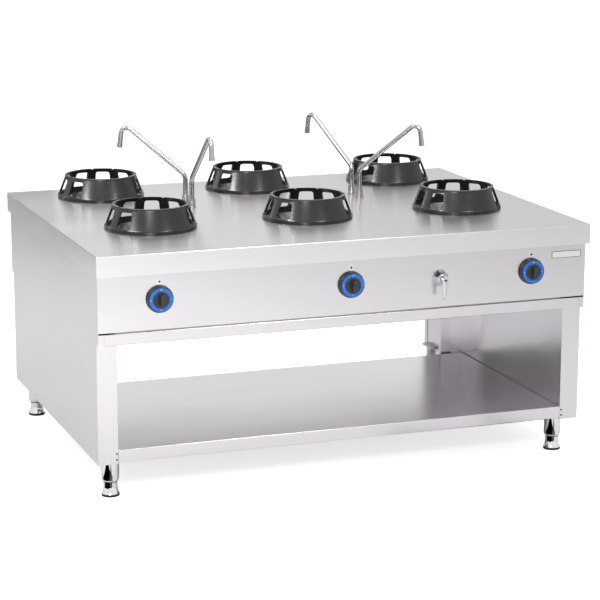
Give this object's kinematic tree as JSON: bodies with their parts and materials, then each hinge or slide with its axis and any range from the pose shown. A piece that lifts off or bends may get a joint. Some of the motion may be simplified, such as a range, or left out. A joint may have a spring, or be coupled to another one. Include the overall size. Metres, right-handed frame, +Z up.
{
  "type": "wok range",
  "caption": "Free-standing stainless gas wok range with cast wok rings, front and rear knob panels, swivel water spouts, lever taps and an open shelf base on round adjustable legs.",
  "frame": {"origin": "on the floor, under the centre of the worktop", "axes": "+X to the right along the long side, +Y to the rear, +Z up; the front control panel faces -Y"},
  "size_m": [1.8, 1.3868, 1.1398],
  "materials": {
    "brushed_stainless": "brushed",
    "bowl_steel": "satin",
    "zinc_steel": "satin",
    "chromed_steel": "polished",
    "chromed_brass": "polished",
    "cast_iron": "semi-gloss",
    "brass": "satin",
    "copper_tube": "satin",
    "knob_plastic": "semi-gloss",
    "dial_blue": "gloss",
    "badge_aluminium": "satin"
  },
  "bodies": {
    "range_body": {"badge_plate": "badge_aluminium", "burner_bowls": "bowl_steel", "burner_box_floor": "brushed_stainless", "burner_heads": "cast_iron", "cabinet_rails": "brushed_stainless", "corner_stiles": "brushed_stainless", "countertop": "brushed_stainless", "fasteners": "zinc_steel", "front_control_panel": "brushed_stainless", "gas_manifold": "zinc_steel", "gas_supply_tubes": "copper_tube", "gas_valves": "brass", "inner_side_liners": "brushed_stainless", "leg_plates": "zinc_steel", "legs": "chromed_steel", "mixing_tubes": "cast_iron", "pilot_burners": "brass", "rear_control_panel": "brushed_stainless", "shelf": "brushed_stainless", "side_panel_left": "brushed_stainless", "side_panel_right": "brushed_stainless", "sight_hole_rings": "chromed_steel", "spout_sockets": "chromed_brass", "tap_bodies": "brass", "tap_rosettes": "chromed_brass", "water_pipes": "copper_tube"},
    "wok_ring_front_left": {"wok_ring_front_left": "cast_iron"},
    "wok_ring_front_middle": {"wok_ring_front_middle": "cast_iron"},
    "wok_ring_front_right": {"wok_ring_front_right": "cast_iron"},
    "wok_ring_back_left": {"wok_ring_back_left": "cast_iron"},
    "wok_ring_back_middle": {"wok_ring_back_middle": "cast_iron"},
    "wok_ring_back_right": {"wok_ring_back_right": "cast_iron"},
    "valve_plunger_front_left": {"valve_plunger_front_left": "brass"},
    "gas_knob_front_left": {"gas_knob_front_left": "knob_plastic", "knob_dial_front_left": "dial_blue"},
    "valve_plunger_front_middle": {"valve_plunger_front_middle": "brass"},
    "gas_knob_front_middle": {"gas_knob_front_middle": "knob_plastic", "knob_dial_front_middle": "dial_blue"},
    "valve_plunger_front_right": {"valve_plunger_front_right": "brass"},
    "gas_knob_front_right": {"gas_knob_front_right": "knob_plastic", "knob_dial_front_right": "dial_blue"},
    "valve_plunger_rear_left": {"valve_plunger_rear_left": "brass"},
    "gas_knob_rear_left": {"gas_knob_rear_left": "knob_plastic", "knob_dial_rear_left": "dial_blue"},
    "valve_plunger_rear_middle": {"valve_plunger_rear_middle": "brass"},
    "gas_knob_rear_middle": {"gas_knob_rear_middle": "knob_plastic", "knob_dial_rear_middle": "dial_blue"},
    "valve_plunger_rear_right": {"valve_plunger_rear_right": "brass"},
    "gas_knob_rear_right": {"gas_knob_rear_right": "knob_plastic", "knob_dial_rear_right": "dial_blue"},
    "tap_lever_front": {"tap_lever_front": "chromed_brass"},
    "tap_lever_rear": {"tap_lever_rear": "chromed_brass"},
    "spout_back_left": {"spout_back_left": "chromed_brass"},
    "spout_front_left": {"spout_front_left": "chromed_brass"},
    "spout_back_right": {"spout_back_right": "chromed_brass"},
    "spout_front_right": {"spout_front_right": "chromed_brass"},
    "foot_front_left": {"foot_front_left": "chromed_steel"},
    "foot_front_right": {"foot_front_right": "chromed_steel"},
    "foot_rear_left": {"foot_rear_left": "chromed_steel"},
    "foot_rear_right": {"foot_rear_right": "chromed_steel"}
  },
  "joints": [
    {"name": "lift_wok_ring_front_left", "type": "slide", "parent": "range_body", "child": "wok_ring_front_left", "axis": [0, 0, 1], "range_m": [0, 0.1]},
    {"name": "lift_wok_ring_front_middle", "type": "slide", "parent": "range_body", "child": "wok_ring_front_middle", "axis": [0, 0, 1], "range_m": [0, 0.1]},
    {"name": "lift_wok_ring_front_right", "type": "slide", "parent": "range_body", "child": "wok_ring_front_right", "axis": [0, 0, 1], "range_m": [0, 0.1]},
    {"name": "lift_wok_ring_back_left", "type": "slide", "parent": "range_body", "child": "wok_ring_back_left", "axis": [0, 0, 1], "range_m": [0, 0.1]},
    {"name": "lift_wok_ring_back_middle", "type": "slide", "parent": "range_body", "child": "wok_ring_back_middle", "axis": [0, 0, 1], "range_m": [0, 0.1]},
    {"name": "lift_wok_ring_back_right", "type": "slide", "parent": "range_body", "child": "wok_ring_back_right", "axis": [0, 0, 1], "range_m": [0, 0.1]},
    {"name": "push_knob_front_left", "type": "slide", "parent": "range_body", "child": "valve_plunger_front_left", "axis": [0, 1, 0], "range_m": [0, 0.0032], "stiffness_N_per_m": 1500, "springref_m": -0.004},
    {"name": "turn_knob_front_left", "type": "hinge", "parent": "valve_plunger_front_left", "child": "gas_knob_front_left", "pos_m": [-0.68, -0.64, 0.692], "axis": [0, -1, 0], "range_deg": [0, 180]},
    {"name": "push_knob_front_middle", "type": "slide", "parent": "range_body", "child": "valve_plunger_front_middle", "axis": [0, 1, 0], "range_m": [0, 0.0032], "stiffness_N_per_m": 1500, "springref_m": -0.004},
    {"name": "turn_knob_front_middle", "type": "hinge", "parent": "valve_plunger_front_middle", "child": "gas_knob_front_middle", "pos_m": [0, -0.64, 0.692], "axis": [0, -1, 0], "range_deg": [0, 180]},
    {"name": "push_knob_front_right", "type": "slide", "parent": "range_body", "child": "valve_plunger_front_right", "axis": [0, 1, 0], "range_m": [0, 0.0032], "stiffness_N_per_m": 1500, "springref_m": -0.004},
    {"name": "turn_knob_front_right", "type": "hinge", "parent": "valve_plunger_front_right", "child": "gas_knob_front_right", "pos_m": [0.68, -0.64, 0.692], "axis": [0, -1, 0], "range_deg": [0, 180]},
    {"name": "push_knob_rear_left", "type": "slide", "parent": "range_body", "child": "valve_plunger_rear_left", "axis": [0, -1, 0], "range_m": [0, 0.0032], "stiffness_N_per_m": 1500, "springref_m": -0.004},
    {"name": "turn_knob_rear_left", "type": "hinge", "parent": "valve_plunger_rear_left", "child": "gas_knob_rear_left", "pos_m": [0.68, 0.64, 0.692], "axis": [0, 1, 0], "range_deg": [0, 180]},
    {"name": "push_knob_rear_middle", "type": "slide", "parent": "range_body", "child": "valve_plunger_rear_middle", "axis": [0, -1, 0], "range_m": [0, 0.0032], "stiffness_N_per_m": 1500, "springref_m": -0.004},
    {"name": "turn_knob_rear_middle", "type": "hinge", "parent": "valve_plunger_rear_middle", "child": "gas_knob_rear_middle", "pos_m": [0, 0.64, 0.692], "axis": [0, 1, 0], "range_deg": [0, 180]},
    {"name": "push_knob_rear_right", "type": "slide", "parent": "range_body", "child": "valve_plunger_rear_right", "axis": [0, -1, 0], "range_m": [0, 0.0032], "stiffness_N_per_m": 1500, "springref_m": -0.004},
    {"name": "turn_knob_rear_right", "type": "hinge", "parent": "valve_plunger_rear_right", "child": "gas_knob_rear_right", "pos_m": [-0.68, 0.64, 0.692], "axis": [0, 1, 0], "range_deg": [0, 180]},
    {"name": "turn_tap_lever_front", "type": "hinge", "parent": "range_body", "child": "tap_lever_front", "pos_m": [0.33, -0.64, 0.692], "axis": [0, -1, 0], "range_deg": [0, 90]},
    {"name": "turn_tap_lever_rear", "type": "hinge", "parent": "range_body", "child": "tap_lever_rear", "pos_m": [-0.33, 0.64, 0.692], "axis": [0, 1, 0], "range_deg": [0, 90]},
    {"name": "swing_spout_back_left", "type": "hinge", "parent": "range_body", "child": "spout_back_left", "pos_m": [-0.33, 0.2, 0.85], "axis": [0, 0, 1], "range_deg": [-144, 12]},
    {"name": "swing_spout_front_left", "type": "hinge", "parent": "range_body", "child": "spout_front_left", "pos_m": [-0.33, 0.12, 0.85], "axis": [0, 0, 1], "range_deg": [-78, 78]},
    {"name": "swing_spout_back_right", "type": "hinge", "parent": "range_body", "child": "spout_back_right", "pos_m": [0.33, 0.2, 0.85], "axis": [0, 0, 1], "range_deg": [-102, 54]},
    {"name": "swing_spout_front_right", "type": "hinge", "parent": "range_body", "child": "spout_front_right", "pos_m": [0.33, 0.12, 0.85], "axis": [0, 0, 1], "range_deg": [-128, 28]},
    {"name": "screw_out_foot_front_left", "type": "slide", "parent": "range_body", "child": "foot_front_left", "axis": [0, 0, -1], "range_m": [0, 0.025]},
    {"name": "screw_out_foot_front_right", "type": "slide", "parent": "range_body", "child": "foot_front_right", "axis": [0, 0, -1], "range_m": [0, 0.025]},
    {"name": "screw_out_foot_rear_left", "type": "slide", "parent": "range_body", "child": "foot_rear_left", "axis": [0, 0, -1], "range_m": [0, 0.025]},
    {"name": "screw_out_foot_rear_right", "type": "slide", "parent": "range_body", "child": "foot_rear_right", "axis": [0, 0, -1], "range_m": [0, 0.025]}
  ]
}
